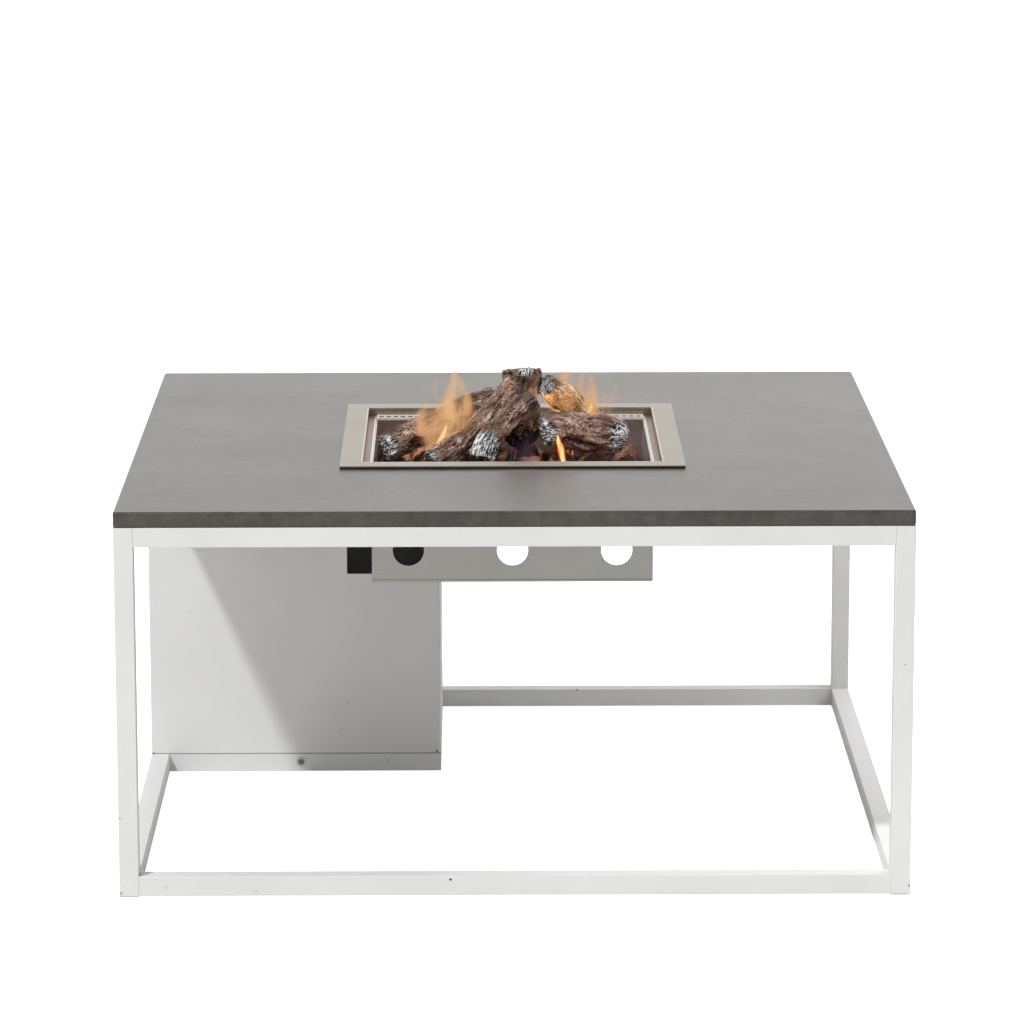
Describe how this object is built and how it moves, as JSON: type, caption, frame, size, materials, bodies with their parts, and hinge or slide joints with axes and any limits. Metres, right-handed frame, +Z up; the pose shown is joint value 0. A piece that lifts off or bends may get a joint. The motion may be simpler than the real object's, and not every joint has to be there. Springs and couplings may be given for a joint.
{
  "type": "gas fire pit coffee table",
  "caption": "Low square lounge table: white square-tube frame, grey slab, drop-in gas burner with ceramic logs and lava stones, gas bottle housing with door, knob and igniter.",
  "frame": {"origin": "on the floor under the centre of the slab", "axes": "+X to the right seen from the front, +Y to the back, +Z up; the bottle housing stands in the left back corner"},
  "size_m": [1, 1, 0.5823],
  "materials": {
    "white_powder_coat": "satin white powder coat",
    "slab": "matt, cloudy grey",
    "black_foam": "matt",
    "stainless": "brushed",
    "brass": "plain",
    "pipe_steel": "drawn",
    "zinc_steel": "zinc plated",
    "white_ceramic": "glazed",
    "lava": "rough",
    "log_ceramic": "rough bark",
    "white_plastic": "fine grain",
    "black_plastic": "fine grain"
  },
  "bodies": {
    "table": {"bar_screw": "zinc_steel", "base_bar_front": "white_powder_coat", "base_bar_side": "white_powder_coat", "bottom_rail_back": "white_powder_coat", "bottom_rail_front": "white_powder_coat", "bottom_rail_left": "white_powder_coat", "bottom_rail_right": "white_powder_coat", "burner_bars": "stainless", "burner_box_back": "stainless", "burner_box_front": "stainless", "burner_box_left": "stainless", "burner_box_right": "stainless", "burner_pan": "stainless", "burner_rim": "stainless", "control_panel": "white_powder_coat", "control_valve": "brass", "corner_tabs": "white_powder_coat", "cross_bar_back": "white_powder_coat", "cross_bar_front": "white_powder_coat", "door_bushes": "black_plastic", "door_catch": "black_plastic", "flame_sensor": "stainless", "foot_glides": "white_plastic", "gas_injector": "brass", "gas_inlet": "brass", "housing_floor": "white_powder_coat", "housing_shell": "white_powder_coat", "igniter_body": "black_plastic", "igniter_nut": "zinc_steel", "knob_bezel": "zinc_steel", "lava_stones": "lava", "leg_back_left": "white_powder_coat", "leg_back_right": "white_powder_coat", "leg_front_left": "white_powder_coat", "leg_front_right": "white_powder_coat", "log_back": "log_ceramic", "log_charred": "log_ceramic", "log_main": "log_ceramic", "log_rear": "log_ceramic", "log_right": "log_ceramic", "log_under": "log_ceramic", "panel_screws": "zinc_steel", "pilot_bracket": "stainless", "rim_seal": "black_foam", "screw_collar": "zinc_steel", "spark_electrode": "white_ceramic", "supply_pipe": "pipe_steel", "tab_screws": "zinc_steel", "table_top": "slab", "top_rail_back": "white_powder_coat", "top_rail_front": "white_powder_coat", "top_rail_left": "white_powder_coat", "top_rail_right": "white_powder_coat", "vent_strip_back": "stainless", "vent_strip_front": "stainless"},
    "door": {"housing_door": "white_powder_coat", "door_pins": "zinc_steel"},
    "spindle": {"valve_spindle": "brass"},
    "knob": {"control_knob": "black_plastic"},
    "button": {"igniter_button": "black_plastic"}
  },
  "joints": [
    {"name": "door_swing", "type": "hinge", "parent": "table", "child": "door", "pos_m": [-0.492, 0.465, 0.2395], "axis": [0, 0, 1], "range_deg": [-95, 0]},
    {"name": "spindle_turn", "type": "hinge", "parent": "table", "child": "spindle", "pos_m": [-0.15, 0.475, 0.381], "axis": [0, 1, 0], "range_deg": [0, 180]},
    {"name": "knob_push", "type": "slide", "parent": "spindle", "child": "knob", "axis": [0, -1, 0], "range_m": [0, 0.003], "stiffness_N_per_m": 1500},
    {"name": "button_push", "type": "slide", "parent": "table", "child": "button", "axis": [0, -1, 0], "range_m": [0, 0.006], "stiffness_N_per_m": 1200}
  ]
}
